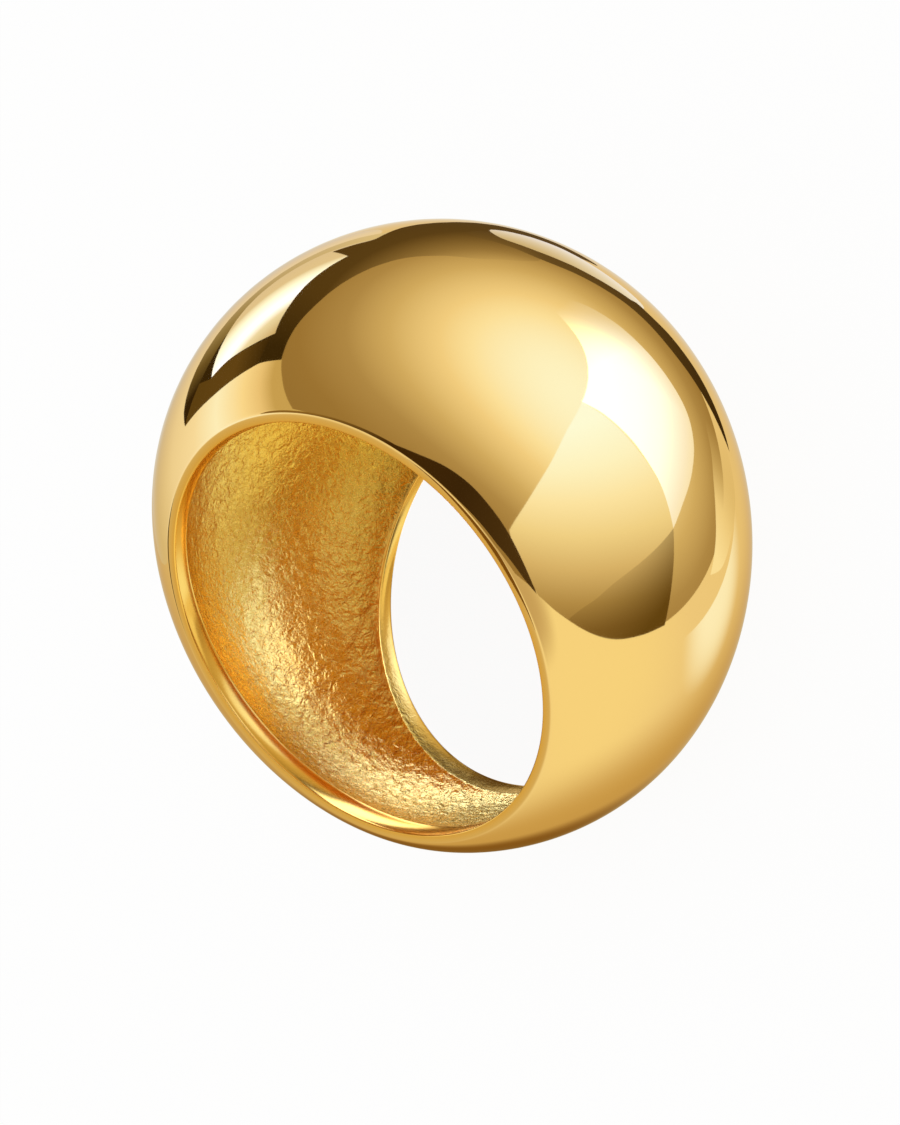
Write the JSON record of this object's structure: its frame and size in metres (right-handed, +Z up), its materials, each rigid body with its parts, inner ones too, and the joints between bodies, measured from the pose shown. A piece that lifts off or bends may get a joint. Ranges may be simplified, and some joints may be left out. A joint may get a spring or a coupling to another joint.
{
  "type": "dome ring",
  "caption": "High-polish dome finger ring: a wide round crown that narrows to a slim shank, flat rims and a hollow, rough-cast back between smooth lips.",
  "frame": {"origin": "on the surface that the ring lies on, under the middle of its box", "axes": "+Z up out of the surface; +X towards the crown, -X towards the shank; +Y across the finger hole. The ring lies on one of its flat sides, so the finger hole's axis leans 17.2 degrees from +Z towards -X."},
  "size_m": [0.026, 0.027, 0.0178],
  "materials": {
    "gold": "mirror-polished yellow gold outside and on the lips, rough cast gold in the hollow back"
  },
  "bodies": {
    "root": {"ring": "gold"}
  },
  "joints": []
}
